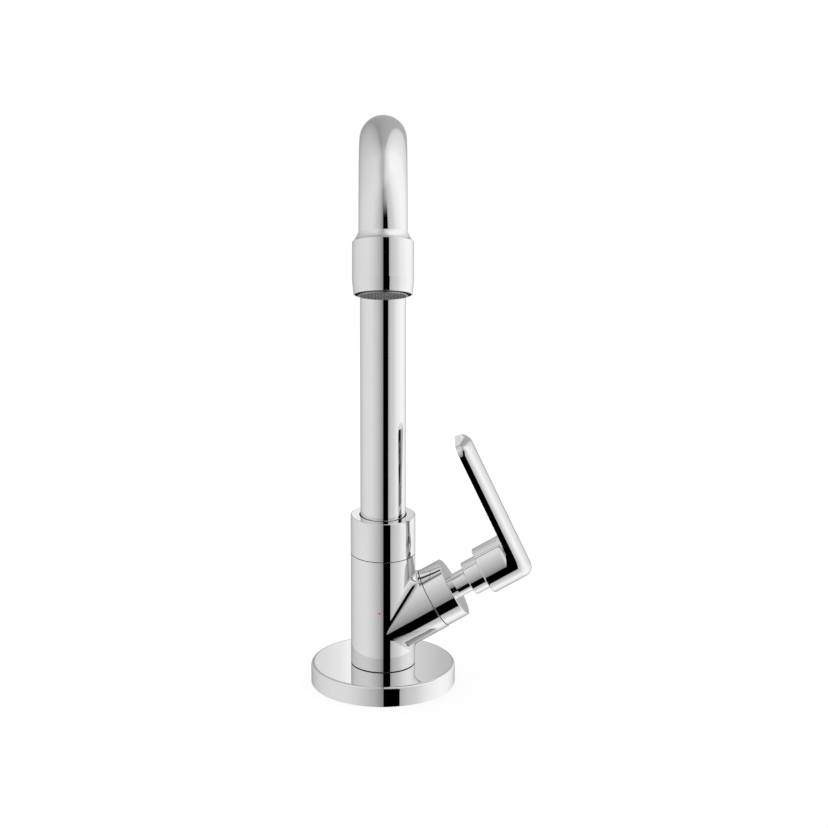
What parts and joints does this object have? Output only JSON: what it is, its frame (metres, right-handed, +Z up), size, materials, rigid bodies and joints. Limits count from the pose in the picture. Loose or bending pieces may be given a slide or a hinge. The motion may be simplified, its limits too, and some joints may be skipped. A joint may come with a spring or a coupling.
{
  "type": "kitchen pillar tap",
  "caption": "Deck-mounted chrome kitchen tap with a swivelling swan-neck spout, an aerator and a quarter-turn side lever on an inclined branch.",
  "frame": {"origin": "centre of the base flange's underside, on the counter's upper face", "axes": "+Z up the column, -Y the way the spout reaches, +X the side of the branch and lever"},
  "size_m": [0.1099, 0.1581, 0.3515],
  "materials": {
    "chrome_plate": "polished chrome plate",
    "bare_brass": "machined brass",
    "stainless": "plain stainless steel",
    "black_rubber": "moulded rubber",
    "bearing_plastic": "moulded bearing plastic",
    "plug_plastic": "plated plastic",
    "white_ceramic": "lapped alumina",
    "index_red": "red inlay"
  },
  "bodies": {
    "body": {"base_flange": "chrome_plate", "base_gasket": "black_rubber", "body_seat_ring": "black_rubber", "mounting_shank": "bare_brass", "deck_rubber": "black_rubber", "deck_washer": "stainless", "backnut": "bare_brass", "tap_body": "chrome_plate", "index_dot": "index_red", "spout_collar": "chrome_plate", "tube_bush": "bearing_plastic", "foot_thrust_ring": "bearing_plastic", "bonnet_sleeve": "chrome_plate", "valve_housing": "bare_brass", "housing_o_ring": "black_rubber", "seat_gasket": "black_rubber", "fixed_ceramic_disc": "white_ceramic"},
    "spout": {"spout_tube": "chrome_plate", "spout_foot": "bare_brass", "foot_o_rings": "black_rubber", "nozzle": "chrome_plate", "aerator_washer": "black_rubber", "aerator_shell": "chrome_plate", "aerator_core": "bearing_plastic", "aerator_screen": "stainless"},
    "handle": {"lever_handle": "chrome_plate", "handle_neck": "chrome_plate", "valve_spindle": "bare_brass", "moving_ceramic_disc": "white_ceramic", "spindle_o_rings": "black_rubber", "spindle_clip": "stainless", "set_screw": "stainless", "screw_plug": "plug_plastic"}
  },
  "joints": [
    {"name": "spout_swivel", "type": "hinge", "parent": "body", "child": "spout", "pos_m": [0, 0, 0.058], "axis": [0, 0, 1], "continuous": true},
    {"name": "handle_turn", "type": "hinge", "parent": "body", "child": "handle", "pos_m": [0, 0, 0.0295], "axis": [0.866, 0, 0.5], "range_deg": [0, 90]}
  ]
}
